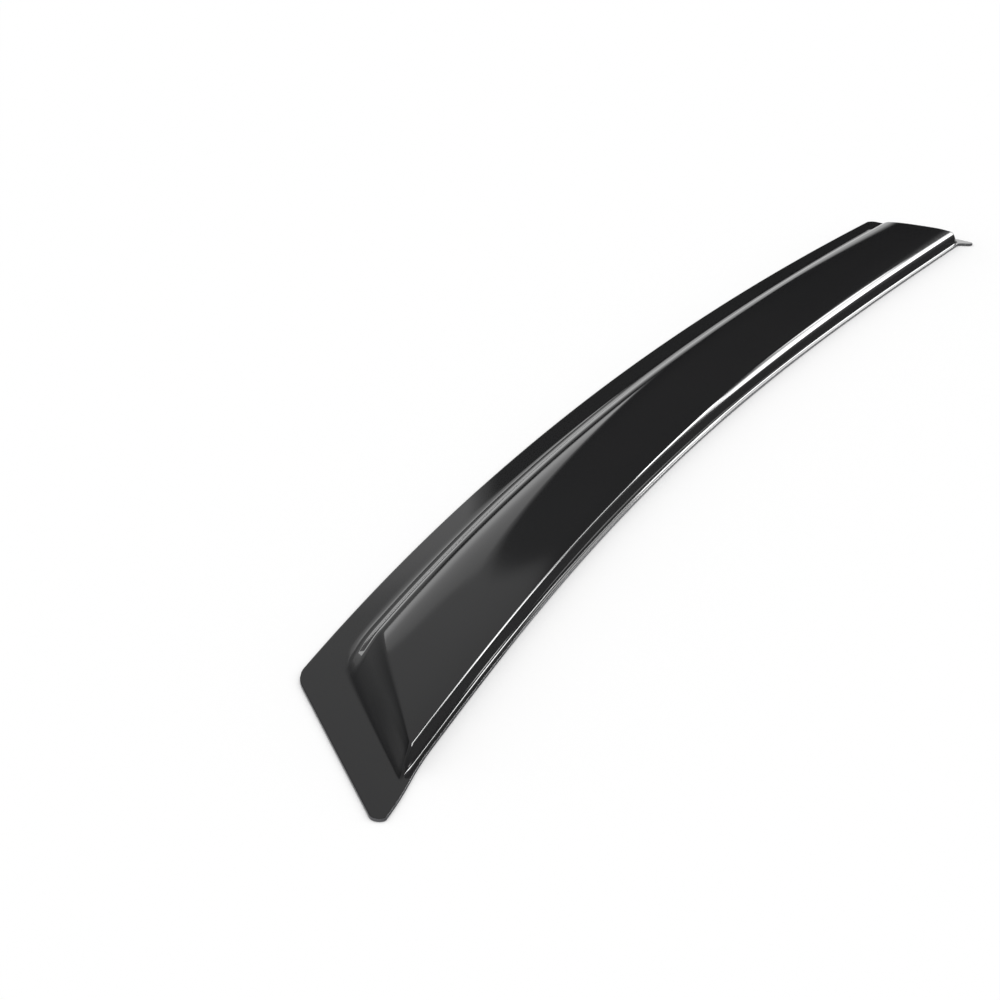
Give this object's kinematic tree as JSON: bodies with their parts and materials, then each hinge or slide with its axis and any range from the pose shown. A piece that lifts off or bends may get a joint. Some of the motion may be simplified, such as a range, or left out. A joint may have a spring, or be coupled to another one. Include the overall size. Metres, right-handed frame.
{
  "type": "window rain deflector",
  "caption": "Long curved window rain deflector: one drawn dark acrylic sheet with a flat mounting flange, a raised body, a slanted end and a nearly square end.",
  "frame": {"origin": "on the inner face of the mounting flange, halfway along the mounting edge and in the middle of the flange's flat width", "axes": "+X along the length towards the square end, +Y from the raised body towards the mounting edge, +Z out of the car through the outer face"},
  "size_m": [1.0194, 0.1399, 0.0113],
  "materials": {
    "smoked_acrylic": "high gloss, near-black smoke tint, polished faces with satin trimmed edges"
  },
  "bodies": {
    "root": {"deflector_shell": "smoked_acrylic"}
  },
  "joints": []
}
